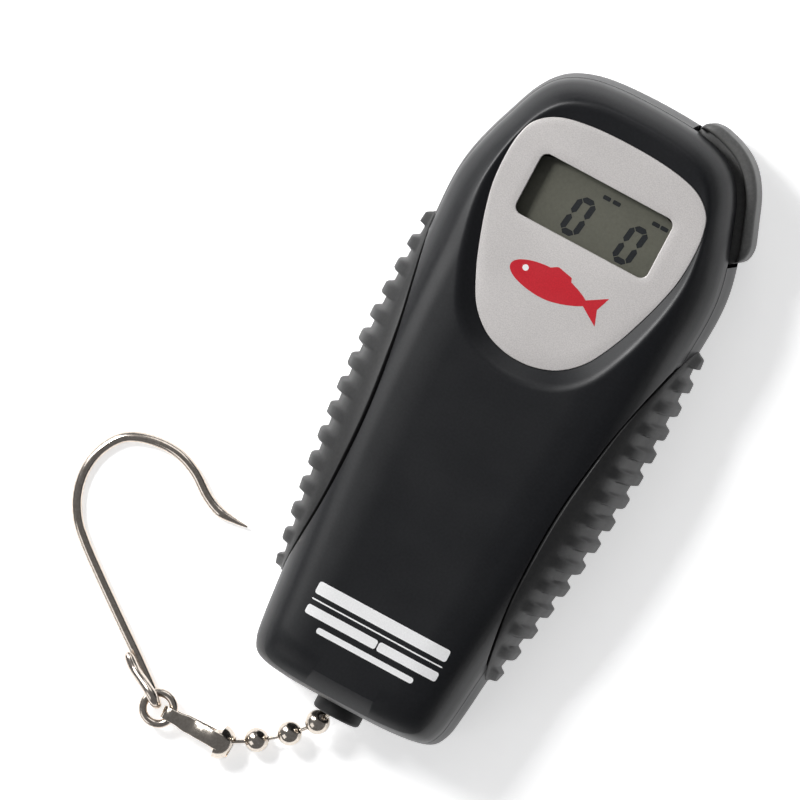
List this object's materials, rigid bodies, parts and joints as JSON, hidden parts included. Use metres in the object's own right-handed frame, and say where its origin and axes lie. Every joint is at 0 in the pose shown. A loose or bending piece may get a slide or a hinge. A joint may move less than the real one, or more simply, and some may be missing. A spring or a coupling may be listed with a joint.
{
  "type": "digital fish scale",
  "caption": "Pocket hanging scale: waisted plastic case with rubber side grips, framed display, corner button, and a ball chain with swivel bell, ring and hook.",
  "frame": {"origin": "centre of the back rest face: the middle of the case's width and length, at its back", "axes": "+Z out of the display face, +Y towards the display end, +X to the right seen from the front"},
  "size_m": [0.0969, 0.1537, 0.0271],
  "materials": {
    "case_plastic": "fine satin texture",
    "grip_rubber": "matte moulded rubber",
    "button_rubber": "matte moulded rubber",
    "boot_rubber": "matte",
    "plate_metal": "fine satin silver",
    "screw_steel": "zinc plated",
    "clear_lens": "clear",
    "lcd_glass": "liquid crystal, grey-green",
    "white_plastic": "moulded",
    "zebra_rubber": "matte",
    "board_green": "solder mask",
    "part_black": "moulded",
    "plunger_red": "moulded",
    "cell_wrap": "printed sleeve",
    "spring_steel": "nickel plated",
    "cell_metal": "milled",
    "gauge_foil": "polyimide film",
    "nut_brass": "plain",
    "wire_jacket": "insulation",
    "chain_metal": "nickel plated",
    "hook_metal": "nickel plated"
  },
  "bodies": {
    "case": {"rear_shell": "case_plastic", "front_shell": "case_plastic", "left_grip": "grip_rubber", "right_grip": "grip_rubber", "case_screws": "screw_steel", "face_plate": "plate_metal", "display_lens": "clear_lens", "lcd_panel": "lcd_glass", "lcd_frame": "white_plastic", "zebra_strips": "zebra_rubber", "circuit_board": "board_green", "board_parts": "part_black", "board_screws": "screw_steel", "tact_switch": "part_black", "battery_1": "cell_wrap", "battery_2": "cell_wrap", "spring_contacts": "spring_steel", "plate_contacts": "spring_steel", "load_cell": "cell_metal", "strain_gauges": "gauge_foil", "sensor_screws": "screw_steel", "hanger": "screw_steel", "hanger_nut": "nut_brass", "chain_boot": "boot_rubber", "battery_wires": "wire_jacket", "gauge_wires": "wire_jacket"},
    "button": {"power_button": "button_rubber", "switch_plunger": "plunger_red"},
    "door": {"battery_door": "case_plastic"},
    "bead_0": {"bead_0": "chain_metal"},
    "bead_1": {"bead_1": "chain_metal"},
    "bead_2": {"bead_2": "chain_metal"},
    "bead_3": {"bead_3": "chain_metal"},
    "bead_4": {"bead_4": "chain_metal"},
    "pin_1": {"pin_1": "chain_metal"},
    "pin_2": {"pin_2": "chain_metal"},
    "pin_3": {"pin_3": "chain_metal"},
    "pin_4": {"pin_4": "chain_metal"},
    "swivel": {"bell": "chain_metal", "strap": "chain_metal"},
    "ring": {"ring": "chain_metal"},
    "hook": {"hook": "hook_metal"}
  },
  "joints": [
    {"name": "button_press", "type": "slide", "parent": "case", "child": "button", "axis": [-0.7071, -0.7071, 0], "range_m": [0, 0.0008], "stiffness_N_per_m": 1500},
    {"name": "door_slide", "type": "slide", "parent": "case", "child": "door", "axis": [0, 1, 0], "range_m": [0, 0.064]},
    {"name": "chain_spin", "type": "hinge", "parent": "case", "child": "bead_0", "pos_m": [0, -0.0646, 0.0108], "axis": [0, -1, 0], "continuous": true},
    {"name": "link_1_yaw", "type": "hinge", "parent": "bead_0", "child": "pin_1", "pos_m": [-0.00076, -0.06649, 0.00989], "axis": [0, 0, 1], "range_deg": [-3, 29]},
    {"name": "link_1_pitch", "type": "hinge", "parent": "pin_1", "child": "bead_1", "pos_m": [-0.0017, -0.06849, 0.00872], "axis": [0.9063, -0.4226, 0], "range_deg": [-24, 6]},
    {"name": "link_2_yaw", "type": "hinge", "parent": "bead_1", "child": "pin_2", "pos_m": [-0.00382, -0.07176, 0.00656], "axis": [0, 0, -1], "range_deg": [-36, 14]},
    {"name": "link_2_pitch", "type": "hinge", "parent": "pin_2", "child": "bead_2", "pos_m": [-0.00526, -0.07341, 0.00534], "axis": [-0.7547, 0.6561, 0], "range_deg": [-29, 19]},
    {"name": "link_3_yaw", "type": "hinge", "parent": "bead_2", "child": "pin_3", "pos_m": [-0.00819, -0.07624, 0.00353], "axis": [0, 0, 1], "range_deg": [-13, 27]},
    {"name": "link_3_pitch", "type": "hinge", "parent": "pin_3", "child": "bead_3", "pos_m": [-0.01004, -0.0778, 0.00293], "axis": [0.6428, -0.766, 0], "range_deg": [-13, 35]},
    {"name": "link_4_yaw", "type": "hinge", "parent": "bead_3", "child": "pin_4", "pos_m": [-0.01369, -0.08036, 0.00269], "axis": [0, 0, -1], "range_deg": [-27, 13]},
    {"name": "link_4_pitch", "type": "hinge", "parent": "pin_4", "child": "bead_4", "pos_m": [-0.01585, -0.0816, 0.00295], "axis": [-0.5, 0.866, 0], "range_deg": [-27, 21]},
    {"name": "bell_spin", "type": "hinge", "parent": "bead_4", "child": "swivel", "pos_m": [-0.01779, -0.08263, 0.0033], "axis": [-1, 0, 0], "continuous": true},
    {"name": "ring_turn", "type": "hinge", "parent": "swivel", "child": "ring", "pos_m": [-0.03129, -0.08263, 0.0033], "axis": [0, 0, 1], "range_deg": [-12, 100]},
    {"name": "hook_swing", "type": "hinge", "parent": "ring", "child": "hook", "pos_m": [-0.03362, -0.08074, 0.0033], "axis": [0.6293, 0.7771, 0], "range_deg": [-60, 60]}
  ]
}
